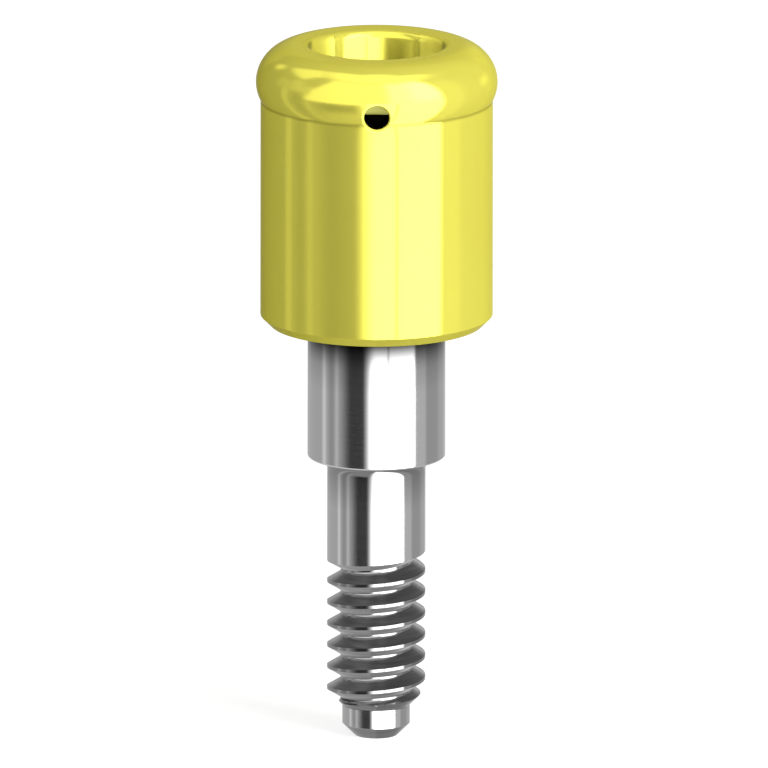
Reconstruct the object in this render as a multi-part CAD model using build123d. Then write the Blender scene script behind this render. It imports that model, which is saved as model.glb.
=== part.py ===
from build123d import *
import os
from math import acos, atan, degrees, hypot, pi, radians, tan

# Stud-type dental abutment, turned and milled from one piece of titanium, so it is one solid.
# Lengths are in millimetres. Z is the axis and the head points up. z = 0 is the flat underside of the
# cuff, where the part seats on its implant. The vent hole looks along -Y.

# Retention head
HEAD_DIAMETER = 3.86
HEAD_EDGE_RADIUS = 0.60
HEAD_TOP = 4.55
NECK_RADIUS = 0.06

# Drive socket in the head: a round bore with a broad rounded slot across it, from side to side, which
# leaves four upright ridges. The slot's ends lie outside the bore by its reach, and its long walls lie
# inside the bore by its inset. The lip is rounded.
BORE_DIAMETER = 1.90
SLOT_REACH = 0.09
SLOT_INSET = 0.27
SLOT_CORNER_RADIUS = 0.45
DRIVE_DEPTH = 0.50
LIP_RADIUS = 0.11

# Round relief below the bore and slot, and the vent hole that opens into it
RELIEF_DIAMETER = 2.50
SOCKET_DEPTH = 1.43
VENT_DIAMETER = 0.40
VENT_DROP = 0.76

# Gum cuff. The head stands out past it all round, which is what a denture cap snaps over.
HEAD_OVERHANG = 0.075
CUFF_CHAMFER = 0.15

# Connection post, which drops into the implant
POST_DIAMETER = 2.20
POST_LENGTH = 2.18
POST_CHAMFER = 0.025

# Guide shank, of the thread's own outside diameter. The corner under the post is filled by a hollow round,
# whose radius is a share of the flat step's width there.
SHANK_DIAMETER = 1.57
SHANK_LENGTH = 1.69
STEP_FILLET_SHARE = 0.70

# Right-hand metric thread with 60 degree flanks. The shank's length ends and the thread's length starts
# at the middle of the first groove, as it lies at +X.
THREAD_PITCH = 0.35
THREAD_LENGTH = 2.375
THREAD_DEPTH_PER_PITCH = 0.6134
ROOT_FLAT_PER_PITCH = 0.15
FLANK_ANGLE = 30.0
LEAD_OUT_START = 20.0
LEAD_OUT_SWEEP = 140.0

# Plain point below the thread
POINT_DIAMETER = 1.08
POINT_LENGTH = 0.50
POINT_CHAMFER = 0.20

# How far a cutter reaches past the surface that it opens. The thread's cutter keeps its flanks for the
# shorter distance, so that its turns never touch each other.
CUTTER_REACH = 0.10
FLANK_REACH_PER_PITCH = 1 / 16
OVERRUN_TURNS = 0.5

# Levels and radii that follow from the sizes above
POST_END = -POST_LENGTH
THREAD_TOP = POST_END - SHANK_LENGTH
THREAD_END = THREAD_TOP - THREAD_LENGTH
TIP = THREAD_END - POINT_LENGTH
CUFF_RADIUS = HEAD_DIAMETER / 2 - HEAD_OVERHANG
SHANK_RADIUS = SHANK_DIAMETER / 2
THREAD_DEPTH = THREAD_DEPTH_PER_PITCH * THREAD_PITCH


def round_corner(section, point, radius):
    """The section with its corner nearest to a point rounded."""
    return fillet(section.vertices().sort_by_distance(point)[0], radius)


def turned_body():
    """The outline that a lathe gives, before any milling or thread cutting."""
    post_radius = POST_DIAMETER / 2
    point_radius = POINT_DIAMETER / 2
    top_radius = HEAD_DIAMETER / 2 - HEAD_EDGE_RADIUS
    tuck_angle = degrees(acos(1 - HEAD_OVERHANG / HEAD_EDGE_RADIUS))
    bulge = CenterArc((top_radius, HEAD_TOP - HEAD_EDGE_RADIUS), HEAD_EDGE_RADIUS, 90, -90 - tuck_angle)
    below = Polyline(
        bulge @ 1,
        (CUFF_RADIUS, CUFF_CHAMFER),
        (CUFF_RADIUS - CUFF_CHAMFER, 0),
        (post_radius, 0),
        (post_radius, POST_END + POST_CHAMFER),
        (post_radius - POST_CHAMFER, POST_END),
        (SHANK_RADIUS, POST_END),
        (SHANK_RADIUS, THREAD_END + SHANK_RADIUS - point_radius),
        (point_radius, THREAD_END),
        (point_radius, TIP + POINT_CHAMFER),
        (point_radius - POINT_CHAMFER, TIP),
        (0, TIP),
        (0, HEAD_TOP),
        bulge @ 0,
    )
    step_fillet = STEP_FILLET_SHARE * (post_radius - POST_CHAMFER - SHANK_RADIUS)
    section = make_face([bulge, below])
    section = round_corner(section, bulge @ 1, NECK_RADIUS)
    section = round_corner(section, (SHANK_RADIUS, POST_END, 0), step_fillet)
    return revolve(Plane.XZ * section, Axis.Z)


def socket():
    """The drive socket, before its lip is rounded, with the round relief under it."""
    slot_length = BORE_DIAMETER + 2 * SLOT_REACH
    slot_width = BORE_DIAMETER - 2 * SLOT_INSET
    across = Circle(BORE_DIAMETER / 2) + RectangleRounded(slot_length, slot_width, SLOT_CORNER_RADIUS)
    drive = Pos(0, 0, -DRIVE_DEPTH) * extrude(across, DRIVE_DEPTH + CUTTER_REACH)
    relief = Pos(0, 0, -DRIVE_DEPTH) * Cylinder(
        RELIEF_DIAMETER / 2, SOCKET_DEPTH - DRIVE_DEPTH, align=(Align.CENTER, Align.CENTER, Align.MAX)
    )
    return Pos(0, 0, HEAD_TOP) * (drive + relief)


def round_lip(body):
    """The body with the socket's mouth rounded: the edges in the head's top that lie inside its flat ring."""
    mouth = body.edges().filter_by_position(Axis.Z, HEAD_TOP, HEAD_TOP)
    ring = HEAD_DIAMETER / 2 - HEAD_EDGE_RADIUS
    inner = [edge for edge in mouth if edge.length < ring * 2 * pi * 0.9]
    return fillet(inner, LIP_RADIUS)


def vent_hole():
    """The radial hole from the relief out through the front of the head."""
    length = HEAD_DIAMETER / 2 + CUTTER_REACH
    hole = Cylinder(VENT_DIAMETER / 2, length, align=(Align.CENTER, Align.CENTER, Align.MIN))
    return Pos(0, 0, HEAD_TOP - VENT_DROP) * Rot(90, 0, 0) * hole


def groove_section():
    """The thread groove's shape, across the axis at +X. A little past the crest its sides run straight out."""
    flank_slope = tan(radians(FLANK_ANGLE))
    root_radius = SHANK_RADIUS - THREAD_DEPTH
    knee_radius = SHANK_RADIUS + FLANK_REACH_PER_PITCH * THREAD_PITCH
    outer_radius = SHANK_RADIUS + CUTTER_REACH
    root_half = ROOT_FLAT_PER_PITCH * THREAD_PITCH / 2
    mouth_half = root_half + (knee_radius - root_radius) * flank_slope
    outline = Polyline(
        (root_radius, -root_half),
        (knee_radius, -mouth_half),
        (outer_radius, -mouth_half),
        (outer_radius, mouth_half),
        (knee_radius, mouth_half),
        (root_radius, root_half),
        close=True,
    )
    return Plane.XZ * make_face(outline)


def groove_cutter():
    """The full-depth groove, from past the thread's end up to where the lead-out starts."""
    height = THREAD_LENGTH + THREAD_PITCH * (LEAD_OUT_START / 360 + OVERRUN_TURNS)
    path = Helix(THREAD_PITCH, height, SHANK_RADIUS)
    cutter = sweep(groove_section(), path=path, is_frenet=True)
    start_angle = LEAD_OUT_START - 360 * height / THREAD_PITCH
    start_level = THREAD_TOP + THREAD_PITCH * LEAD_OUT_START / 360 - height
    return Pos(0, 0, start_level) * Rot(0, 0, start_angle) * cutter


def lead_out_cutter():
    """The groove's end, which climbs out of the metal along a cone."""
    height = THREAD_PITCH * LEAD_OUT_SWEEP / 360
    rise = THREAD_DEPTH + FLANK_REACH_PER_PITCH * THREAD_PITCH
    slant = hypot(1, rise / height)
    path = Helix(THREAD_PITCH * slant, height, SHANK_RADIUS, cone_angle=degrees(atan(rise / height)))
    cutter = sweep(groove_section(), path=path, is_frenet=True)
    level = THREAD_TOP + THREAD_PITCH * LEAD_OUT_START / 360
    return Pos(0, 0, level) * Rot(0, 0, LEAD_OUT_START) * cutter


def abutment():
    """The finished part."""
    headed = round_lip(turned_body() - socket())
    return headed - vent_hole() - groove_cutter() - lead_out_cutter()


def main():
    """Writes the part."""
    os.makedirs("parts", exist_ok=True)
    export_step(abutment(), "parts/abutment.step")


main()
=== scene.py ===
"""Looks of a stud-type dental abutment: a gold-coated head and cuff over a bare titanium post and thread.

The sizes are in millimetres, as on the part's drawing, and become metres when a mesh is made. Z is the axis,
z = 0 is the flat underside of the cuff, and the vent hole looks along -Y, towards the camera.
"""

import logging
from dataclasses import dataclass, field
from enum import Enum
from functools import cached_property, partialmethod
from math import atan2, cos, degrees, pi, radians, sin, sqrt, tan

import bmesh
import bpy
import numpy as np
from bpy.types import ID, Material, Mesh, Node, NodeSocket, NodeTree, Object
from mathutils import Matrix, Vector


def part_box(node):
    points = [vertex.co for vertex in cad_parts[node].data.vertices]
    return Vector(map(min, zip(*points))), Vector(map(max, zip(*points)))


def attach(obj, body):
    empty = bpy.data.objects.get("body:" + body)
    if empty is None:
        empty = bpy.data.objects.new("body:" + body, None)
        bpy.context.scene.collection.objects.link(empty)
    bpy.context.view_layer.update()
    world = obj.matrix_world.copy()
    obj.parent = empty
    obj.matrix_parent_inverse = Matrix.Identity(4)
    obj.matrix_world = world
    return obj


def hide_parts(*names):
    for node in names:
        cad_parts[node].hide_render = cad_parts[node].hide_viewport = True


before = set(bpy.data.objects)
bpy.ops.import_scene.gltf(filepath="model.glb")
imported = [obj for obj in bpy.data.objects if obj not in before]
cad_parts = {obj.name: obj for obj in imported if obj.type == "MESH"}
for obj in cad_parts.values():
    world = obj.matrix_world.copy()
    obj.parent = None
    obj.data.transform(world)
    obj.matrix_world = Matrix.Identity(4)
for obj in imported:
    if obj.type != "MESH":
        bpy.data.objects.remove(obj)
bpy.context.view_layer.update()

log = logging.getLogger("abutment")

MM = 0.001
NODE = "abutment"
BODY = "root"

# The photograph: its side in pixels, and where and how large the part stands in it
PHOTO_SIDE = 768
PHOTO_PIXELS_PER_MM = 62.67
PHOTO_AXIS_X = 376.45
PHOTO_TOP_Y = 44.8
PHOTO_ELEVATION = 13.25
PHOTO_ROLL = 0.06

# Mesh steps: columns round the axis, the support beside a rounded corner, and the least sharp angle
GOLD_COLUMNS = 320
TITANIUM_COLUMNS = 256
CORNER_SUPPORT = 0.012
SHARP_ANGLE = radians(20)
WELD = 2e-5

Profile = list[tuple[float, float]]
Colour = tuple[float, float, float, float]
Triple = tuple[float, float, float]
Edge = tuple[float, float]
Zone = tuple[float, float, float, float]


class Finish(Enum):
    """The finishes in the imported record, by the names of their slots."""

    GOLD = "gold_nitride_coat"
    TITANIUM = "bare_titanium"


# Outlines and skins


@dataclass(frozen=True)
class Corner:
    """A corner of a turned outline.

    Args:
        radius: Distance from the axis.
        level: Height above the seat.
        rounding: Radius of the edge break, or 0 for a sharp corner.
        steps: Number of faces in the rounding.
    """

    radius: float
    level: float
    rounding: float = 0.0
    steps: int = 5


def rounded(corners: list[Corner]) -> Profile:
    """Turns corners into outline points, each broken edge as an arc with a support point at either side."""
    points: Profile = [(corners[0].radius, corners[0].level)]
    for before, corner, after in zip(corners, corners[1:], corners[2:]):
        here = Vector((corner.radius, corner.level))
        back = (Vector((before.radius, before.level)) - here).normalized()
        ahead = (Vector((after.radius, after.level)) - here).normalized()
        if not corner.rounding:
            points.append(tuple(here))
            continue
        half = back.angle(ahead) / 2
        reach = corner.rounding / tan(half)
        centre = here + (back + ahead).normalized() * (corner.rounding / sin(half))
        start = here + back * reach - centre
        end = here + ahead * reach - centre
        points.append(tuple(here + back * (reach + CORNER_SUPPORT)))
        turn = start.angle(end)
        for step in range(corner.steps + 1):
            share = step / corner.steps
            mixed = start * sin((1 - share) * turn) + end * sin(share * turn)
            points.append(tuple(centre + mixed / sin(turn)))
        points.append(tuple(here + ahead * (reach + CORNER_SUPPORT)))
    points.append((corners[-1].radius, corners[-1].level))
    return points


def arc(centre: tuple[float, float], radius: float, start: float, stop: float, steps: int) -> Profile:
    """Points along a circle's arc in an outline, angles in degrees from the outward direction."""
    angles = np.radians(np.linspace(start, stop, steps + 1))
    return [(centre[0] + radius * cos(a), centre[1] + radius * sin(a)) for a in angles]


class Skin:
    """A mesh in the making: rings of equally spaced points round the axis, and the faces between them."""

    def __init__(self, columns: int) -> None:
        """Starts an empty skin with that many columns round the axis, column 0 at the back."""
        self.columns = columns
        self.angles = np.linspace(-pi, pi, columns, endpoint=False)
        self.points: list[Triple] = []
        self.faces: list[tuple[int, ...]] = []
        self.finishes: list[int] = []

    def point(self, x: float, y: float, z: float) -> int:
        """Adds one point and returns its number."""
        self.points.append((x, y, z))
        return len(self.points) - 1

    def ring(self, radius: float | np.ndarray, level: float) -> list[int]:
        """Adds a ring of points, with one radius or one for each column.

        Returns:
            The points' numbers, from the back round by -X, the front and +X.
        """
        radii = np.broadcast_to(radius, self.angles.shape)
        return [self.point(r * sin(a), -r * cos(a), level) for r, a in zip(radii, self.angles)]

    def face(self, corners: tuple[int, ...], finish: int = 0) -> None:
        """Adds one face with the finish of that number."""
        self.faces.append(corners)
        self.finishes.append(finish)

    def band(self, low: list[int], high: list[int], finish: int = 0, closed: bool = True) -> list[int]:
        """Joins two loops of points by a strip of four-cornered faces, and returns the second."""
        last = len(low) if closed else len(low) - 1
        for i in range(last):
            j = (i + 1) % len(low)
            self.face((low[i], low[j], high[j], high[i]), finish)
        return high

    def cap(self, loop: list[int], level: float, finish: int = 0) -> None:
        """Closes a ring with a fan to a point on the axis."""
        hub = self.point(0.0, 0.0, level)
        for i, corner in enumerate(loop):
            self.face((corner, loop[(i + 1) % len(loop)], hub), finish)

    def turn(self, profile: Profile) -> list[list[int]]:
        """Adds a ring for each point of an outline, joins them in order and returns them."""
        rings = [self.ring(radius, level) for radius, level in profile]
        for low, high in zip(rings, rings[1:]):
            self.band(low, high)
        return rings

    def mesh(self, name: str) -> Mesh:
        """Makes the mesh, still in millimetres."""
        mesh = bpy.data.meshes.new(name)
        mesh.from_pydata(self.points, [], self.faces)
        mesh.polygons.foreach_set("material_index", self.finishes)
        return mesh


def placed(name: str, data: ID) -> Object:
    """A new object in the scene with this data."""
    thing = bpy.data.objects.new(name, data)
    bpy.context.scene.collection.objects.link(thing)
    return thing


def finished_piece(name: str, meshes: list[Mesh], materials: list[Material]) -> Object:
    """Welds meshes in millimetres into one closed piece in metres, with smooth faces and sharp edges.

    Args:
        name: The piece's name.
        meshes: Parts of its skin, whose edges meet. They are used up.
        materials: Its finishes, in the order that the faces count them.

    Returns:
        The piece, in the scene, with its object at the origin.
    """
    joined = bmesh.new()
    for mesh in meshes:
        joined.from_mesh(mesh)
        bpy.data.meshes.remove(mesh)
    bmesh.ops.remove_doubles(joined, verts=joined.verts, dist=WELD)
    bmesh.ops.dissolve_degenerate(joined, edges=joined.edges, dist=WELD)
    bmesh.ops.recalc_face_normals(joined, faces=joined.faces)
    bmesh.ops.scale(joined, vec=(MM, MM, MM), verts=joined.verts)
    for each in joined.faces:
        each.smooth = True
    open_edges = sum(not edge.is_manifold for edge in joined.edges)
    result = bpy.data.meshes.new(name)
    joined.to_mesh(result)
    joined.free()
    result.set_sharp_from_angle(angle=SHARP_ANGLE)
    for material in materials:
        result.materials.append(material)
    log.info("%s: %d faces, %d open edges", name, len(result.polygons), open_edges)
    return placed(name, result)


# Node trees


@dataclass(frozen=True)
class Field:
    """A number inside a node tree, on which plain arithmetic builds further nodes."""

    tree: NodeTree
    socket: NodeSocket

    def math(self, operation: str, *others: "Field | float") -> "Field":
        """Adds a Math node of this operation, with this number first."""
        node = add_node(self.tree, "ShaderNodeMath", dict(enumerate((self, *others))), operation=operation)
        return Field(self.tree, node.outputs[0])

    __add__ = partialmethod(math, "ADD")
    __sub__ = partialmethod(math, "SUBTRACT")
    __mul__ = partialmethod(math, "MULTIPLY")
    __truediv__ = partialmethod(math, "DIVIDE")
    least = partialmethod(math, "MINIMUM")
    most = partialmethod(math, "MAXIMUM")

    def ramp(self, start: "Field | float", stop: "Field | float", smooth: bool = False) -> "Field":
        """Rises from 0 at start to 1 at stop, and keeps to that range."""
        inputs = {"Value": self, "From Min": start, "From Max": stop}
        kind = "SMOOTHSTEP" if smooth else "LINEAR"
        node = add_node(self.tree, "ShaderNodeMapRange", inputs, interpolation_type=kind)
        return Field(self.tree, node.outputs["Result"])

    def zone(self, edges: Zone, smooth: bool = False) -> "Field":
        """Rises from 0 to 1 between the first two edges, and falls back to 0 between the last two."""
        return self.ramp(edges[0], edges[1], smooth) * self.ramp(edges[3], edges[2], smooth)


Input = Field | NodeSocket | Material | float | Triple | Colour
Inputs = dict[str | int, Input]


def feed(tree: NodeTree, slot: NodeSocket, value: Input) -> None:
    """Links a field or another node's output to an input, or sets the input to a plain value."""
    if isinstance(value, Field):
        value = value.socket
    if isinstance(value, NodeSocket):
        tree.links.new(value, slot)
    else:
        slot.default_value = value


def add_node(tree: NodeTree, kind: str, inputs: Inputs | None = None, **settings: str) -> Node:
    """Adds a node with these settings, and feeds the inputs that are named or numbered."""
    node = tree.nodes.new(kind)
    for name, setting in settings.items():
        setattr(node, name, setting)
    for name, value in (inputs or {}).items():
        feed(tree, node.inputs[name], value)
    return node


def parts(tree: NodeTree, vector: NodeSocket) -> list[Field]:
    """The three numbers of a vector."""
    return [Field(tree, output) for output in add_node(tree, "ShaderNodeSeparateXYZ", {0: vector}).outputs]


class Surface:
    """A node material in the making, with its tree and its Principled shader."""

    bump_depth = 0.01 * MM

    def __init__(self, name: str, plain: dict[str, float | Colour]) -> None:
        """Starts the material, with plain values for the shader's inputs that are named."""
        self.material = bpy.data.materials.new(name)
        self.material.use_nodes = True
        self.tree = self.material.node_tree
        self.shader = self.tree.nodes["Principled BSDF"]
        for slot, value in plain.items():
            self.set(slot, value)

    def set(self, name: str, value: Input) -> None:
        """Feeds one of the shader's inputs."""
        feed(self.tree, self.shader.inputs[name], value)

    @cached_property
    def place(self) -> NodeSocket:
        """The place on the piece in millimetres, from its Object coordinates."""
        inputs = {0: add_node(self.tree, "ShaderNodeTexCoord").outputs["Object"], "Scale": 1 / MM}
        return add_node(self.tree, "ShaderNodeVectorMath", inputs, operation="SCALE").outputs[0]

    def noise(self, per_mm: Triple, detail: float = 2.0) -> Field:
        """A noise pattern from 0 to 1, with its own scale along each axis."""
        inputs = {0: self.place, 1: per_mm}
        stretched = add_node(self.tree, "ShaderNodeVectorMath", inputs, operation="MULTIPLY").outputs[0]
        inputs = {"Vector": stretched, "Scale": 1.0, "Detail": detail}
        return Field(self.tree, add_node(self.tree, "ShaderNodeTexNoise", inputs).outputs["Fac"])

    def tint(self, colours: tuple[Colour, Colour], share: Field, shade: Field | float = 1.0) -> None:
        """Gives the shader the mix of two colours at each place, multiplied by a brightness."""
        inputs = {"Factor": share, "A": colours[0], "B": colours[1]}
        mixed = add_node(self.tree, "ShaderNodeMix", inputs, data_type="RGBA").outputs["Result"]
        inputs = {0: mixed, "Scale": shade}
        shaded = add_node(self.tree, "ShaderNodeVectorMath", inputs, operation="SCALE").outputs[0]
        self.set("Base Color", shaded)

    def bump(self, height: Field, strength: float) -> None:
        """Gives the shader a fine relief."""
        inputs = {"Strength": strength, "Distance": self.bump_depth, "Height": height}
        self.set("Normal", add_node(self.tree, "ShaderNodeBump", inputs).outputs[0])


# Sub-assemblies of the part

# The numbers of the coated piece's finishes, where the coat itself is 0
# Finish 1 is black painted shadow, finish 2 the relief's matt wall with painted shade in its colour
PAINTED_SHADOW, MATT = 1, 2


@dataclass(frozen=True)
class GumCuff:
    """The tall plain cylinder that stands in the gum, with its flat seat and its chamfer."""

    radius: float = 1.855
    chamfer: float = 0.15
    edge: float = 0.012

    def outline(self, post_radius: float, top: float) -> Profile:
        """The outline from where the post leaves the seat up to the neck."""
        seat = self.radius - self.chamfer
        return rounded([
            Corner(post_radius, 0.0),
            Corner(seat, 0.0, self.edge),
            Corner(self.radius, self.chamfer, self.edge),
            Corner(self.radius, top),
        ])


@dataclass(frozen=True)
class DriveSocket:
    """The drive socket in the head's top, a round bore with a rounded slot across it, and the relief below.

    The slot's corners are rounder than the solid's, by 0.06 mm at most, as the photograph shades them.
    """

    bore_radius: float = 0.95
    slot_length: float = 2.08
    slot_width: float = 1.59
    slot_corner: float = 0.78
    drive_depth: float = 0.50
    lip: float = 0.11
    relief_radius: float = 1.25
    depth: float = 1.43
    top_shares: Triple = (0.1, 0.5, 0.9)
    lip_steps: int = 8
    wall_steps: int = 6

    def reach(self, angles: np.ndarray, growth: float) -> np.ndarray:
        """Distance from the axis to the wall at each angle, with the outline moved out by growth."""
        across, along = np.abs(np.sin(angles)), np.abs(np.cos(angles))
        corner_x = self.slot_length / 2 - self.slot_corner
        corner_y = self.slot_width / 2 - self.slot_corner
        rounding = self.slot_corner + growth
        aside = across * corner_y - along * corner_x
        slot = across * corner_x + along * corner_y + np.sqrt(np.maximum(rounding**2 - aside**2, 0.0))
        end = (corner_x + rounding) / np.maximum(across, WELD)
        side = (corner_y + rounding) / np.maximum(along, WELD)
        slot = np.where(end * along < corner_y, end, slot)
        slot = np.where(side * across < corner_x, side, slot)
        return np.maximum(slot, self.bore_radius + growth)

    def wall(self, skin: Skin, rim: list[int], rim_radius: float, top: float) -> list[int]:
        """Carries the head's flat top from its rim into the socket, and returns the ring under the wall."""
        mouth = self.reach(skin.angles, self.lip)
        steps = [(rim_radius + (mouth - rim_radius) * share, top) for share in self.top_shares]
        for step in range(self.lip_steps + 1):
            fall = pi / 2 * step / self.lip_steps
            growth = self.lip * (1 - sin(fall))
            steps.append((self.reach(skin.angles, growth), top - self.lip * (1 - cos(fall))))
        wall = self.reach(skin.angles, 0.0)
        for level in np.linspace(top - self.lip, top - self.drive_depth, self.wall_steps + 1)[1:]:
            steps.append((wall, level))
        last = rim
        for radius, level in steps:
            last = skin.band(last, skin.ring(radius, level))
        return last


@dataclass(frozen=True)
class VentHole:
    """The small radial hole from the head's front into the relief, with a broken edge."""

    radius: float = 0.20
    drop: float = 0.76
    edge: float = 0.03
    edge_steps: int = 5
    spread_steps: int = 7
    spread_power: float = 0.8
    bore_steps: int = 4


@dataclass(frozen=True)
class Window:
    """A rectangle of a skin's grid that is left out, to be filled round a hole.

    Args:
        rings: The rings that it spans, lowest first.
        first: Its first column.
        last: Its last column.
    """

    rings: list[list[int]]
    first: int
    last: int

    def border(self) -> list[int]:
        """The points round it, from the lower left corner as seen from the front, through the lower right."""
        low, high = self.rings[0], self.rings[-1]
        right = [ring[self.last] for ring in self.rings[1:]]
        left = [ring[self.first] for ring in reversed(self.rings[1:-1])]
        return low[self.first:self.last + 1] + right + high[self.first:self.last][::-1] + left

    def frame_faces(self, skin: Skin, finish: int = 0) -> None:
        """Adds the faces of its rings that lie outside it."""
        for low, high in zip(self.rings, self.rings[1:]):
            around = list(range(self.last, skin.columns)) + list(range(self.first + 1))
            skin.band([low[i] for i in around], [high[i] for i in around], finish, closed=False)


@dataclass(frozen=True)
class RetentionHead:
    """The round snap head: its bulge, the neck under it, the flat top, the socket and the vent."""

    radius: float = 1.93
    top: float = 4.55
    bulge: float = 0.60
    neck: float = 0.06
    bulge_steps: int = 42
    neck_steps: int = 5
    socket: DriveSocket = field(default_factory=DriveSocket)
    vent: VentHole = field(default_factory=VentHole)
    window_columns: int = 10
    window_height: float = 0.36
    cuff_rings: int = 3
    relief_window_columns: int = 15
    relief_window_top: float = 0.02
    relief_window_bottom: float = 0.62
    relief_corner: float = 0.06
    # How far above the neck arc's centre the coat's painted crease shade is centred
    crease_rise: float = 0.012

    def bulge_centre(self) -> tuple[float, float]:
        """Centre of the bulge's arc."""
        return self.radius - self.bulge, self.top - self.bulge

    def neck_centre(self, cuff_radius: float) -> tuple[float, float]:
        """Centre of the hollow arc that leads from the cuff's wall into the bulge."""
        across = cuff_radius + self.neck - (self.radius - self.bulge)
        down = sqrt((self.bulge + self.neck) ** 2 - across**2)
        return cuff_radius + self.neck, self.top - self.bulge - down

    def outside_radius(self, level: float, cuff_radius: float) -> float:
        """Radius of the head's or cuff's outside at a level near the vent."""
        bulge_radius, bulge_level = self.bulge_centre()
        neck_radius, neck_level = self.neck_centre(cuff_radius)
        meeting = bulge_level + (neck_level - bulge_level) * self.bulge / (self.bulge + self.neck)
        if level <= neck_level:
            return cuff_radius
        if level <= meeting:
            return neck_radius - sqrt(self.neck**2 - (level - neck_level) ** 2)
        return bulge_radius + sqrt(self.bulge**2 - (level - bulge_level) ** 2)


@dataclass(frozen=True)
class CoatedBody:
    """The gold-coated part of the abutment: the gum cuff and the retention head in one skin."""

    cuff: GumCuff
    head: RetentionHead
    post_radius: float

    def profile(self) -> Profile:
        """The outside outline from the seat's middle ring to the edge of the flat top."""
        head = self.head
        neck_radius, neck_level = head.neck_centre(self.cuff.radius)
        bulge_radius, bulge_level = head.bulge_centre()
        lean = degrees(atan2(neck_level - bulge_level, neck_radius - bulge_radius))
        window_low = head.top - head.vent.drop - head.window_height
        levels = np.linspace(window_low, neck_level, head.cuff_rings, endpoint=False)
        wall = [(self.cuff.radius, level) for level in levels]
        neck = arc((neck_radius, neck_level), head.neck, 180, 180 + lean, head.neck_steps)
        bulge = arc((bulge_radius, bulge_level), head.bulge, lean, 90, head.bulge_steps)
        return self.cuff.outline(self.post_radius, window_low)[:-1] + wall + neck + bulge[1:]

    def build(self, finishes: list[Material]) -> Object:
        """Makes the piece: the outside, the socket, the relief and the vent hole between them."""
        head = self.head
        skin = Skin(GOLD_COLUMNS)
        profile = self.profile()
        outside = [skin.ring(radius, level) for radius, level in profile]
        skin.cap(outside[0], 0.0)
        outer = self.window(skin, outside, [level for _, level in profile])
        for low, high in zip(outside, outside[1:]):
            if not (low in outer.rings and high in outer.rings):
                skin.band(low, high)
        outer.frame_faces(skin)
        drive = head.socket.wall(skin, outside[-1], profile[-1][0], head.top)
        inner = self.relief(skin, drive, len(outer.border()))
        self.pierce(skin, outer, inner)
        return finished_piece("coated_head_and_cuff", [skin.mesh("coated")], finishes)

    def window(self, skin: Skin, rings: list[list[int]], levels: list[float]) -> Window:
        """The window in the outside round the vent's mouth."""
        head = self.head
        middle = head.top - head.vent.drop
        spanned = [ring for ring, level in zip(rings, levels)
                   if abs(level - middle) <= head.window_height + WELD]
        half = skin.columns // 2
        return Window(spanned, half - head.window_columns, half + head.window_columns)

    def relief(self, skin: Skin, drive: list[int], border: int) -> Window:
        """Adds the round relief under the socket and returns the window in its wall.

        Args:
            skin: The skin to add to.
            drive: The ring at the bottom of the socket's wall.
            border: How many points the window needs round it.

        Returns:
            The window, whose own faces are left out.
        """
        head, socket = self.head, self.head.socket
        ceiling = head.top - socket.drive_depth
        floor = head.top - socket.depth
        window_top = ceiling - head.relief_window_top
        window_bottom = ceiling - head.relief_window_bottom
        rows = border // 2 - 2 * head.relief_window_columns
        ledge = skin.band(drive, skin.ring(socket.relief_radius, ceiling), MATT)
        rings = [skin.ring(socket.relief_radius, level)
                 for level in np.linspace(window_bottom, window_top, rows + 1)]
        skin.band(ledge, rings[-1], MATT)
        half = skin.columns // 2
        window = Window(rings, half - head.relief_window_columns, half + head.relief_window_columns)
        window.frame_faces(skin, MATT)
        corner = rounded([
            Corner(socket.relief_radius, window_bottom),
            Corner(socket.relief_radius, floor, head.relief_corner),
            Corner(socket.relief_radius / 2, floor),
        ])
        last = rings[0]
        for radius, level in corner[1:]:
            # The relief's floor is black painted shadow
            last = skin.band(last, skin.ring(radius, level), PAINTED_SHADOW if level <= floor + WELD else MATT)
        skin.cap(last, floor, PAINTED_SHADOW)
        return window

    def pierce(self, skin: Skin, outer: Window, inner: Window) -> None:
        """Fills both windows round the vent hole and joins them by its bore."""
        head, vent = self.head, self.head.vent
        middle = head.top - vent.drop
        border = outer.border()
        starts = np.array([(skin.points[i][0], skin.points[i][2]) for i in border])
        headings = np.arctan2(starts[:, 1] - middle, starts[:, 0])
        compass = np.stack([np.cos(headings), np.sin(headings)], axis=1)
        mouth = np.array((0.0, middle)) + compass * (vent.radius + vent.edge)

        def outside_y(x: float, z: float) -> float:
            """Where the outside lies over a point of the front view."""
            return -sqrt(head.outside_radius(z, self.cuff.radius) ** 2 - x * x)

        last = border
        for step in range(1, vent.spread_steps + 1):
            share = (step / vent.spread_steps) ** vent.spread_power
            spots = starts + (mouth - starts) * share
            last = skin.band(last, [skin.point(x, outside_y(x, z), z) for x, z in spots])
        for step in range(1, vent.edge_steps + 1):
            fall = pi / 2 * step / vent.edge_steps
            reach = vent.radius + vent.edge * (1 - sin(fall))
            inset = vent.edge * (1 - cos(fall))
            spots = np.array((0.0, middle)) + compass * reach
            last = skin.band(last, [skin.point(x, outside_y(x, z) + inset, z) for x, z in spots])
        relief = head.socket.relief_radius
        spots = np.array((0.0, middle)) + compass * vent.radius
        for step in range(1, vent.bore_steps + 1):
            share = step / vent.bore_steps
            loop = []
            for x, z in spots:
                front = outside_y(x, z) + vent.edge
                back = -sqrt(relief**2 - x * x)
                loop.append(skin.point(x, front + (back - front) * share, z))
            # The vent's bore is black painted shadow
            last = skin.band(last, loop, PAINTED_SHADOW)
        skin.band(last, inner.border(), MATT)


@dataclass(frozen=True)
class ConnectionPost:
    """The smooth post that drops into the implant's mouth."""

    radius: float = 1.10
    length: float = 2.18
    chamfer: float = 0.025
    edge: float = 0.01


@dataclass(frozen=True)
class GuideShank:
    """The narrower plain length between the post and the thread."""

    radius: float = 0.785
    length: float = 1.69
    clear: float = 1.42
    step_fillet: float = 0.203


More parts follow.
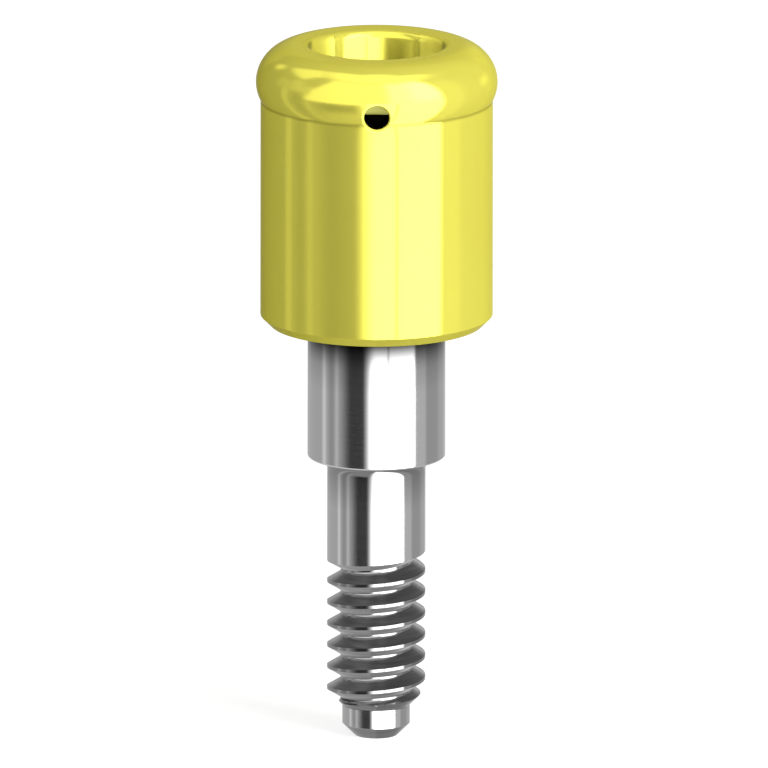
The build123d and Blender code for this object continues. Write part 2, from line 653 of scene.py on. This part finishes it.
@dataclass(frozen=True)
class ScrewThread:
    """The right-hand thread. Geometry Nodes lay a grid of points along its helix.

    The thread's length starts at the middle of the first groove, as it lies at +X. The groove's last turn
    climbs out of the metal, and a chamfer cuts the thread's lower end.
    """

    pitch: float = 0.35
    length: float = 2.375
    depth_per_pitch: float = 0.6134
    root_flat_per_pitch: float = 0.15
    flank_angle: float = 30.0
    lead_out_start: float = 20.0
    lead_out_sweep: float = 140.0
    overshoot_per_pitch: float = 1 / 16
    turns_counted: int = 9
    root_rounding: float = 0.012
    root_steps: int = 4
    flank_steps: int = 6
    crest_steps: int = 4

    def mesh(self, shank: GuideShank, point_radius: float, top: float, start: float) -> Mesh:
        """Runs the tree and returns its result as a plain mesh in millimetres.

        Args:
            shank: The plain shank above, whose radius is the thread's.
            point_radius: Radius of the plain point below.
            top: Level at which the thread's skin meets the plain shank.
            start: Level of the first groove's middle at +X.

        Returns:
            The thread's skin, open at both ends.
        """
        sizes = {
            "Pitch": self.pitch,
            "Crest Radius": shank.radius,
            "Depth": self.depth_per_pitch * self.pitch,
            "Root Flat": self.root_flat_per_pitch * self.pitch,
            "Flank Slope": tan(radians(self.flank_angle)),
            "Lead-out Start": self.lead_out_start / 360,
            "Lead-out Sweep": self.lead_out_sweep / 360,
            "Lead-out Rise": (self.depth_per_pitch + self.overshoot_per_pitch) * self.pitch,
            "Start Level": start,
            "Top Level": top,
            "End Level": start - self.length,
            "Point Radius": point_radius,
            "Root Rounding": self.root_rounding,
        }
        tree, sockets = self.tree(list(sizes))
        holder = placed("thread_holder", bpy.data.meshes.new("thread_holder"))
        modifier = holder.modifiers.new("thread", "NODES")
        modifier.node_group = tree
        for name, value in sizes.items():
            modifier[sockets[name]] = value
        graph = bpy.context.evaluated_depsgraph_get()
        mesh = bpy.data.meshes.new_from_object(holder.evaluated_get(graph), depsgraph=graph)
        holder.modifiers.remove(modifier)
        bpy.data.objects.remove(holder)
        return mesh

    def tree(self, names: list[str]) -> tuple[NodeTree, dict[str, str]]:
        """Builds the tree.

        Args:
            names: The names of its inputs, all lengths in millimetres, slopes or turns.

        Returns:
            The tree, and the identifier of each named input.
        """
        tree = bpy.data.node_groups.new("screw_thread", "GeometryNodeTree")
        sockets = {}
        for name in names:
            sockets[name] = tree.interface.new_socket(name, in_out="INPUT", socket_type="NodeSocketFloat")
        tree.interface.new_socket("Geometry", in_out="OUTPUT", socket_type="NodeSocketGeometry")
        given = tree.nodes.new("NodeGroupInput")
        size = {name: Field(tree, given.outputs[name]) for name in names}
        per_turn = 2 * (self.root_steps + self.flank_steps) + self.crest_steps
        rows = per_turn * self.turns_counted + 1

        counts = {"Vertices X": TITANIUM_COLUMNS + 1, "Vertices Y": rows}
        mesh = add_node(tree, "GeometryNodeMeshGrid", counts).outputs[0]
        index = Field(tree, add_node(tree, "GeometryNodeInputIndex").outputs[0])
        column = (index / rows).math("FLOOR")
        row = index - column * rows
        groove = (row / per_turn).math("FLOOR")
        step = row - groove * per_turn
        share = column / TITANIUM_COLUMNS
        turn = share + groove - (self.turns_counted - 1)

        edges = np.cumsum([self.root_steps, self.flank_steps, self.crest_steps, self.flank_steps])
        climb = step.ramp(float(edges[0]), float(edges[1]))
        crest = step.ramp(float(edges[1]), float(edges[2]))
        descent = step.ramp(float(edges[2]), float(edges[3]))
        leave = step.ramp(0.0, float(edges[0]))
        enter = step.ramp(float(edges[3]), float(per_turn))

        here = self.groove_depth(size, turn)
        above = self.groove_depth(size, turn + 1)
        root_half = size["Root Flat"] / 2
        mouth_here = root_half + here * size["Flank Slope"]
        mouth_above = root_half + above * size["Flank Slope"]
        land = size["Pitch"] - mouth_here - mouth_above
        level = size["Start Level"] + turn * size["Pitch"]
        level = level + leave * root_half + climb * here * size["Flank Slope"] + crest * land
        level = level + descent * above * size["Flank Slope"] + enter * root_half
        level = level.most(size["End Level"]).least(size["Top Level"])
        radius = size["Crest Radius"] - here + climb * here - descent * above
        off_root = leave * (enter * -1.0 + 1.0)
        rounding = size["Root Rounding"] * here.least(above) / size["Depth"]
        radius = radius + rounding * off_root * off_root * (descent - climb + 1.0)
        radius = radius.least(size["Point Radius"] + level - size["End Level"])

        angle = share * (2 * pi)
        across, along = radius * angle.math("COSINE"), radius * angle.math("SINE")
        place = add_node(tree, "ShaderNodeCombineXYZ", {0: across, 1: along, 2: level}).outputs[0]
        for kind, inputs in (
            ("GeometryNodeSetPosition", {"Position": place}),
            ("GeometryNodeMergeByDistance", {"Distance": WELD}),
            ("GeometryNodeRealizeInstances", {}),
            ("GeometryNodeSetMaterial", {"Material": bpy.data.materials.get(Finish.TITANIUM.value)}),
        ):
            mesh = add_node(tree, kind, {0: mesh, **inputs}).outputs[0]
        add_node(tree, "NodeGroupOutput", {0: mesh})
        return tree, {name: socket.identifier for name, socket in sockets.items()}

    @staticmethod
    def groove_depth(size: dict[str, Field], turn: Field) -> Field:
        """Depth of the groove at a place counted in turns, 0 where it has climbed out of the metal."""
        past = (turn - size["Lead-out Start"]) / size["Lead-out Sweep"]
        lift = past.most(0.0).least(1.0) * size["Lead-out Rise"]
        return (size["Depth"] - lift).most(0.0)


@dataclass(frozen=True)
class PlainPoint:
    """The short plain point that leads the thread into the implant."""

    radius: float = 0.54
    length: float = 0.50
    chamfer: float = 0.20
    edge: float = 0.012


@dataclass(frozen=True)
class BareStem:
    """The bare titanium part of the abutment: post, shank, thread and point in one skin."""

    post: ConnectionPost
    shank: GuideShank
    thread: ScrewThread
    point: PlainPoint

    def build(self, finishes: list[Material]) -> Object:
        """Makes the piece: two turned skins with the thread's skin between them."""
        post_end = -self.post.length
        thread_top = post_end - self.shank.clear
        start = post_end - self.shank.length
        thread_end = start - self.thread.length
        thread = self.thread.mesh(self.shank, self.point.radius, thread_top, start)
        meshes = [self.upper(post_end, thread_top), thread, self.lower(thread_end)]
        return finished_piece("bare_post_and_thread", meshes, finishes)

    def upper(self, post_end: float, thread_top: float) -> Mesh:
        """The post and the plain shank, down to the thread's skin."""
        post = self.post
        profile = rounded([
            Corner(post.radius / 2, 0.0),
            Corner(post.radius, 0.0, post.edge),
            Corner(post.radius, post_end + post.chamfer, post.edge),
            Corner(post.radius - post.chamfer, post_end, post.edge),
            Corner(self.shank.radius, post_end, self.shank.step_fillet, steps=18),
            Corner(self.shank.radius, thread_top),
        ])
        skin = Skin(TITANIUM_COLUMNS)
        rings = skin.turn(profile)
        skin.cap(rings[0], 0.0)
        return skin.mesh("stem_upper")

    def lower(self, thread_end: float) -> Mesh:
        """The plain point under the thread's skin."""
        point = self.point
        tip = thread_end - point.length
        profile = rounded([
            Corner(point.radius, thread_end),
            Corner(point.radius, tip + point.chamfer, point.edge),
            Corner(point.radius - point.chamfer, tip, point.edge),
            Corner((point.radius - point.chamfer) / 2, tip),
        ])
        skin = Skin(TITANIUM_COLUMNS)
        rings = skin.turn(profile)
        skin.cap(rings[-1], tip)
        return skin.mesh("stem_lower")


# Finishes


@dataclass(frozen=True)
class GoldNitrideCoat:
    """The polished lemon-gold hard coating, with painted shade and a painted dark reflection.

    Painted shade darkens it in the crease under the bulge and along the socket's ridges, and a painted dark
    reflection darkens the ends of the socket's side pockets. The socket's side pockets are duller than its
    bore.
    Places are distances from the middle, and levels.
    """

    crease_level: float
    colour: Colour = (0.93, 0.87, 0.13, 1.0)
    deep_colour: Colour = (0.90, 0.82, 0.115, 1.0)
    grazing_tint: Colour = (0.48, 0.46, 0.36, 1.0)
    metallic: float = 0.42
    roughness: float = 0.07
    roughness_spread: float = 0.05
    clouds_per_mm: Triple = (0.7, 0.7, 0.7)
    marks_per_mm: Triple = (0.8, 0.8, 45.0)
    marks_height: float = 0.012
    # Painted shade in the crease under the bulge: its half-width and how much brightness it takes away
    crease_width: float = 0.045
    crease_shade: float = 0.35
    socket_floor: Edge = (4.00, 4.05)
    pocket_side: Edge = (0.66, 0.70)
    pocket_reach_squared: Edge = (1.45, 1.35)
    pocket_roughness: float = 0.28
    pocket_metallic: float = 0.24
    # A painted dark reflection at the ends of the socket's side pockets: where it lies, and how much it
    # darkens
    pocket_end: Zone = (1.02, 1.06, 1.13, 1.17)
    pocket_end_width: Edge = (0.45, 0.25)
    pocket_end_top: Edge = (4.551, 4.53)
    pocket_end_dark_reflection: float = 0.55
    # Painted shade along the socket's four ridges: where they lie, its width and how much it darkens
    ridge: tuple[float, float] = (0.671, 0.673)
    ridge_width: float = 0.045
    ridge_shade: float = 0.30

    def material(self) -> Material:
        """Makes the material."""
        surface = Surface(Finish.GOLD.value, {"Specular IOR Level": 0.0, "Specular Tint": self.grazing_tint})
        x, y, level = parts(surface.tree, surface.place)
        # Painted shade: the coat is darker in the crease under the bulge
        off = (level - self.crease_level).math("ABSOLUTE").ramp(0.0, self.crease_width, smooth=True)
        shade = off * self.crease_shade + (1.0 - self.crease_shade)
        clouds = surface.noise(self.clouds_per_mm, detail=3.0)
        surface.tint((self.deep_colour, self.colour), clouds, shade * self.socket_shade(x, y, level))
        marks = surface.noise(self.marks_per_mm)
        surface.bump(marks, self.marks_height)
        pockets = self.pockets(x, y, level)
        dull = pockets * self.pocket_roughness
        surface.set("Roughness", marks * self.roughness_spread + self.roughness + dull)
        surface.set("Metallic", pockets * self.pocket_metallic + self.metallic)
        return surface.material

    def socket_shade(self, x: Field, y: Field, level: Field) -> Field:
        """The share of the coat's brightness left by painted shade along the socket's ridges and by a painted
        dark reflection at its pockets' ends.
        """
        aside, along = x.math("ABSOLUTE"), y.math("ABSOLUTE")
        inside = level.ramp(*self.socket_floor)
        # Painted shade along the ridges
        across, back = aside - self.ridge[0], along - self.ridge[1]
        near = (across * across + back * back).math("SQRT").ramp(self.ridge_width, 0.0)
        # A painted dark reflection at the pockets' ends
        end = aside.zone(self.pocket_end) * along.ramp(*self.pocket_end_width)
        end = end * level.ramp(*self.pocket_end_top) * inside
        return (near * inside * -self.ridge_shade + 1.0) * (end * -self.pocket_end_dark_reflection + 1.0)

    def pockets(self, x: Field, y: Field, level: Field) -> Field:
        """1 in the socket's two side pockets, and 0 elsewhere."""
        aside = x.math("ABSOLUTE").ramp(*self.pocket_side)
        within = (x * x + y * y).ramp(*self.pocket_reach_squared)
        return aside * within * level.ramp(*self.socket_floor)


@dataclass(frozen=True)
class TurnedTitanium:
    """Bare fine-turned titanium with painted shade under the cuff, under the post and on the thread.

    Places are levels. flank_slope says how far a face of the thread looks up or down.
    """

    colour: Colour = (0.60, 0.60, 0.60, 1.0)
    deep_colour: Colour = (0.57, 0.57, 0.575, 1.0)
    roughness: float = 0.10
    roughness_spread: float = 0.05
    anisotropy: float = 0.5
    quarter_turn: float = 0.25
    marks_per_mm: Triple = (0.6, 0.6, 60.0)
    marks_height: float = 0.03
    # Levels where the painted shadow under the cuff starts and fades out
    cuff_shadow_top: float = -0.10
    cuff_shadow_near: float = -0.60
    cuff_shadow_far: float = -0.95
    # A painted highlight on the post's lower edge: its levels and how much it brightens
    post_edge: Zone = (-2.184, -2.179, -2.157, -2.150)
    post_edge_painted_highlight: float = 0.6
    # Painted shade under the post's end: its levels and how much it darkens
    under_post: Zone = (-2.95, -2.19, -2.19, -2.178)
    under_post_shade: float = 0.5
    thread_start: Edge = (-3.0, -3.1)
    # Painted shade on the thread: its rings, its last ring, and its upper and lower flanks, streaked unevenly
    rings: Zone = (-6.26, -6.24, -3.92, -3.84)
    ring_shade: float = 0.55
    last_ring: Zone = (-6.255, -6.235, -6.11, -6.07)
    last_ring_shade: float = 0.06
    flank_slope: Edge = (0.45, 0.75)
    upper_flank_shade: float = 0.18
    lower_flank_shade: float = 0.55
    streaks_per_mm: Triple = (1.5, 1.5, 22.0)
    streak_share: Edge = (0.25, 0.75)
    streak_strength: float = 0.6

    def material(self) -> Material:
        """Makes the material."""
        plain = {"Metallic": 1.0, "Anisotropic": self.anisotropy, "Anisotropic Rotation": self.quarter_turn}
        surface = Surface(Finish.TITANIUM.value, plain)
        marks = surface.noise(self.marks_per_mm, detail=3.0)
        surface.tint((self.deep_colour, self.colour), marks, self.shade(surface))
        surface.set("Roughness", marks * self.roughness_spread + self.roughness)
        surface.bump(marks, self.marks_height)
        tangent = add_node(surface.tree, "ShaderNodeTangent", direction_type="RADIAL", axis="Z")
        surface.set("Tangent", tangent.outputs[0])
        return surface.material

    def shade(self, surface: Surface) -> Field:
        """The share of the metal's brightness at each place: painted shade, uneven on the thread's flanks,
        and a painted highlight on the post's lower edge.
        """
        level = parts(surface.tree, surface.place)[2]
        up = parts(surface.tree, add_node(surface.tree, "ShaderNodeTexCoord").outputs["Normal"])[2]
        # Painted shadow under the cuff, fading out downwards
        near = level.ramp(self.cuff_shadow_top, self.cuff_shadow_near, smooth=True)
        far = level.ramp(self.cuff_shadow_top, self.cuff_shadow_far)
        streaks = surface.noise(self.streaks_per_mm).ramp(*self.streak_share)
        uneven = streaks * self.streak_strength + (1.0 - self.streak_strength / 2)
        # Painted shade on the thread's rings and last ring, then on its flanks, streaked unevenly
        thread = level.zone(self.rings) * (self.ring_shade - 1.0) + 1.0
        thread = thread + level.zone(self.last_ring) * (self.last_ring_shade - self.ring_shade)
        for way, left in ((1.0, self.upper_flank_shade), (-1.0, self.lower_flank_shade)):
            facing = (up * way).ramp(*self.flank_slope, smooth=True) * level.ramp(*self.thread_start)
            thread = thread + facing * (uneven * left - thread)
        # Painted highlight on the post's lower edge
        painted_highlight = level.zone(self.post_edge) * self.post_edge_painted_highlight + 1.0
        # Painted shade under the post's end
        under_post = level.zone(self.under_post) * -self.under_post_shade + 1.0
        return (near + far) * 0.5 * thread * painted_highlight * under_post


@dataclass(frozen=True)
class DullSurface:
    """A dull finish between two colours, with a grain and, if it is rough to the touch, a fine relief."""

    name: str
    colours: tuple[Colour, Colour]
    grain_per_mm: Triple
    roughness: float
    metallic: float = 0.0
    relief: float = 0.0

    def material(self) -> Material:
        """Makes the material."""
        plain = {"Roughness": self.roughness, "Metallic": self.metallic, "Specular IOR Level": 0.0}
        surface = Surface(self.name, plain)
        grain = surface.noise(self.grain_per_mm)
        surface.tint(self.colours, grain)
        if self.relief:
            surface.bump(grain, self.relief)
        return surface.material


# The relief under the socket: its wall is matt where the gold coating was never polished, and its colour is
# darkened as painted shade. Its floor and the vent hole's wall are black painted shadow.
MATT_RELIEF = DullSurface(
    "matt_relief", ((0.46, 0.46, 0.13, 1.0), (0.52, 0.52, 0.16, 1.0)), (3.0, 3.0, 30.0), 0.55, 0.35, 0.05)
PAINTED_SHADOW_BORE = DullSurface(
    "dark_bore", ((0.002, 0.002, 0.002, 1.0), (0.006, 0.006, 0.004, 1.0)), (12.0, 12.0, 12.0), 0.75)


# The studio


@dataclass(frozen=True)
class Card:
    """A soft light or a dark flag on the studio's far wall, as polished metal mirrors it.

    Args:
        left, right: Its side edges, in degrees from the camera's side towards +X.
        bottom, top: Its other edges, in degrees above the horizon.
        level: How bright it is, where 1 is white paper.
        soft_left, soft_right, soft_ends: Widths of its edges' fades.
    """

    left: float
    right: float
    bottom: float
    top: float
    level: float
    soft_left: float = 4.0
    soft_right: float = 4.0
    soft_ends: float = 10.0

    def over(self, below: Field, azimuth: Field, elevation: Field) -> Field:
        """Lays the card over what is there already."""
        left, right, ends = self.soft_left / 2, self.soft_right / 2, self.soft_ends / 2
        sides = (self.left - left, self.left + left, self.right - right, self.right + right)
        levels = (self.bottom - ends, self.bottom + ends, self.top - ends, self.top + ends)
        share = azimuth.zone(sides, smooth=True) * elevation.zone(levels, smooth=True)
        return below + share * (below * -1.0 + self.level)


@dataclass(frozen=True)
class Surroundings:
    """The pale studio: white to the eye, plain to dull surfaces, and full of cards in the metal's gloss."""

    white: float = 1.0
    fill: float = 0.35
    wall: float = 0.56
    cards: tuple[Card, ...] = (
        Card(72, 94, -90, 50, 0.68, 4, 8),
        Card(92, 126, -90, 50, 0.46, 8, 12),
        Card(154, 200, -90, 0, 0.66, 12, 4),
        Card(140, 200, -90, -35, 0.45, 12, 4, 16),
        Card(-103, -94, -90, 10, 0.90, 5, 5),
        Card(-87, -76, -90, 15, 0.42, 6, 6),
        Card(-73, -67, -90, 12, 0.72, 3, 3),
        Card(-57, -19.5, -28, -4, 0.02, 30, 7, 24),
        Card(-72, 16, -3, 62, 1.75, 12, 6, 8),
        Card(-136, 115, 62, 91, 1.75, 20, 20, 16),
        Card(-200, 200, 80, 98, 1.75, 4, 4, 8),
        Card(150, 200, 4, 24, 0.85, 10, 4, 8),
        Card(-200, -150, 4, 24, 0.85, 4, 10, 8),
        Card(-9, 67.5, -90, 2, 4.8, 20, 6, 6),
        Card(12, 66, -2, 62, 4.8, 14, 8, 20),
        Card(36, 64, 4, 58, 6.6, 20, 10, 24),
        Card(18.5, 21.5, -90, 0, 1.75, 3, 3),
        Card(-143, -133, 23, 33, 1.6, 8, 8, 8),
        Card(-135, -95, 40, 62, 1.6, 14, 14, 10),
        Card(-100, -70, 10, 36, 0.85, 10, 10, 12),
        Card(-115, -95, 8, 26, 0.75, 8, 8, 8),
        Card(-85, -66, 30, 56, 0.55, 10, 10, 16),
        Card(121, 135, 0, 11, 1.1, 10, 8, 8),
        Card(163, 173, 6, 18, 1.2, 8, 8, 8),
    )

    def build(self) -> None:
        """Makes the world."""
        world = bpy.data.worlds.new("studio")
        world.use_nodes = True
        tree = world.node_tree
        x, y, z = parts(tree, add_node(tree, "ShaderNodeTexCoord").outputs["Generated"])
        azimuth = x.math("ARCTAN2", y * -1.0) * degrees(1)
        elevation = z.math("ARCSINE") * degrees(1)
        mirrored = z * 0.0 + self.wall
        for card in self.cards:
            mirrored = card.over(mirrored, azimuth, elevation)
        ray = add_node(tree, "ShaderNodeLightPath")
        kinds = ("Is Camera Ray", "Is Glossy Ray", "Is Transmission Ray")
        seen, gloss, through = (Field(tree, ray.outputs[kind]) for kind in kinds)
        gloss = gloss.most(through)
        strength = gloss * (mirrored - self.fill) + self.fill
        strength = strength + seen * (strength * -1.0 + self.white)
        background = tree.nodes["Background"]
        background.inputs["Color"].default_value = (1.0, 1.0, 1.0, 1.0)
        feed(tree, background.inputs["Strength"], strength)
        bpy.context.scene.world = world


@dataclass(frozen=True)
class Softbox:
    """A square soft lamp that looks at the part."""

    name: str
    azimuth: float
    elevation: float
    distance: float
    side: float
    level: float

    def build(self, target: Vector) -> None:
        """Makes the lamp. Its power gives a white sheet that faces it the level that it names."""
        lamp = bpy.data.lights.new(self.name, "AREA")
        lamp.shape = "SQUARE"
        lamp.size = self.side * MM
        lamp.energy = self.level * pi * pi * (self.distance * MM) ** 2
        a, e = radians(self.azimuth), radians(self.elevation)
        away = Vector((sin(a) * cos(e), -cos(a) * cos(e), sin(e)))
        place = placed(self.name, lamp)
        place.location = target + away * self.distance * MM
        place.rotation_euler = away.to_track_quat("Z", "Y").to_euler()
        place.visible_glossy = False


@dataclass(frozen=True)
class Floor:
    """The pale sheet that the part stands over, white to the eye apart from the part's soft shadow."""

    side: float = 4000.0
    grey: float = 0.60
    glow: float = 0.70

    def build(self, level: float) -> Object:
        """Makes the floor at that level."""
        half = self.side / 2 * MM
        mesh = bpy.data.meshes.new("floor")
        corners = [(-half, -half), (half, -half), (half, half), (-half, half)]
        mesh.from_pydata([(x, y, level * MM) for x, y in corners], [], [(0, 1, 2, 3)])
        mesh.materials.append(self.material())
        floor = placed("floor", mesh)
        floor.visible_glossy = False
        return floor

    def material(self) -> Material:
        """Pale paper that glows a little for the camera, and lets it look through from below."""
        grey = (self.grey, self.grey, self.grey, 1.0)
        paper = Surface("pale_paper", {"Base Color": grey, "Roughness": 1.0, "Specular IOR Level": 0.0})
        tree = paper.tree
        ray = Field(tree, add_node(tree, "ShaderNodeLightPath").outputs["Is Camera Ray"])
        glow = add_node(tree, "ShaderNodeEmission", {"Strength": ray * self.glow})
        both = add_node(tree, "ShaderNodeAddShader", {0: paper.shader.outputs[0], 1: glow.outputs[0]})
        back = add_node(tree, "ShaderNodeNewGeometry").outputs["Backfacing"]
        clear = add_node(tree, "ShaderNodeBsdfTransparent")
        sides = add_node(tree, "ShaderNodeMixShader", {0: back, 1: both.outputs[0], 2: clear.outputs[0]})
        feed(tree, tree.nodes["Material Output"].inputs["Surface"], sides.outputs[0])
        return paper.material


@dataclass(frozen=True)
class PhotoCamera:
    """A camera without perspective, at the photograph's angle and framing."""

    distance: float = 200.0

    def build(self, top: float) -> None:
        """Makes the camera. top is the level of the head's flat top."""
        data = bpy.data.cameras.new("photo_camera")
        data.type = "ORTHO"
        data.ortho_scale = PHOTO_SIDE / PHOTO_PIXELS_PER_MM * MM
        data.clip_start, data.clip_end = MM, 4 * self.distance * MM
        tilt = radians(PHOTO_ELEVATION)
        middle = PHOTO_SIDE / 2
        x = (middle - PHOTO_AXIS_X) / PHOTO_PIXELS_PER_MM
        z = top - (middle - PHOTO_TOP_Y) / (PHOTO_PIXELS_PER_MM * cos(tilt))
        away = Vector((0.0, -cos(tilt), sin(tilt)))
        camera = placed("photo_camera", data)
        turn = away.to_track_quat("Z", "Y").to_matrix() @ Matrix.Rotation(radians(PHOTO_ROLL), 3, "Z")
        camera.location = (Vector((x, 0.0, z)) + away * self.distance) * MM
        camera.rotation_euler = turn.to_euler()
        bpy.context.scene.camera = camera


def declare(piece: Object, finish: Finish) -> None:
    """Hangs a piece on its body, hides the imported part that it stands for, and logs its finish's slot.

    Metal mirrors the studio and not itself, as in the photograph.
    """
    piece.visible_glossy = False
    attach(piece, BODY)
    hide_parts(NODE)
    log.info("%s: rides on %s, finish %s", piece.name, BODY, finish.value)


def main() -> None:
    """Builds the part's pieces and the studio."""
    logging.basicConfig(level=logging.INFO, format="%(message)s")
    bpy.context.scene.view_settings.view_transform = "Standard"
    lowest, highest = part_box(NODE)
    head = RetentionHead(radius=highest[0] / MM, top=highest[2] / MM)
    PhotoCamera().build(head.top)
    post, cuff = ConnectionPost(), GumCuff()
    gold = GoldNitrideCoat(head.neck_centre(cuff.radius)[1] + head.crease_rise).material()
    titanium = TurnedTitanium().material()
    coated = CoatedBody(cuff, head, post.radius).build([gold, PAINTED_SHADOW_BORE.material(), MATT_RELIEF.material()])
    stem = BareStem(post, GuideShank(), ScrewThread(), PlainPoint()).build([titanium])
    declare(coated, Finish.GOLD)
    declare(stem, Finish.TITANIUM)
    Floor().build(lowest[2] / MM)
    Surroundings().build()
    target = (lowest + highest) / 2
    for lamp in (
        Softbox("key", azimuth=44, elevation=20, distance=300, side=160, level=0.92),
        Softbox("back", azimuth=-160, elevation=40, distance=300, side=200, level=0.12),
    ):
        lamp.build(target)


if __name__ == "__main__":
    main()
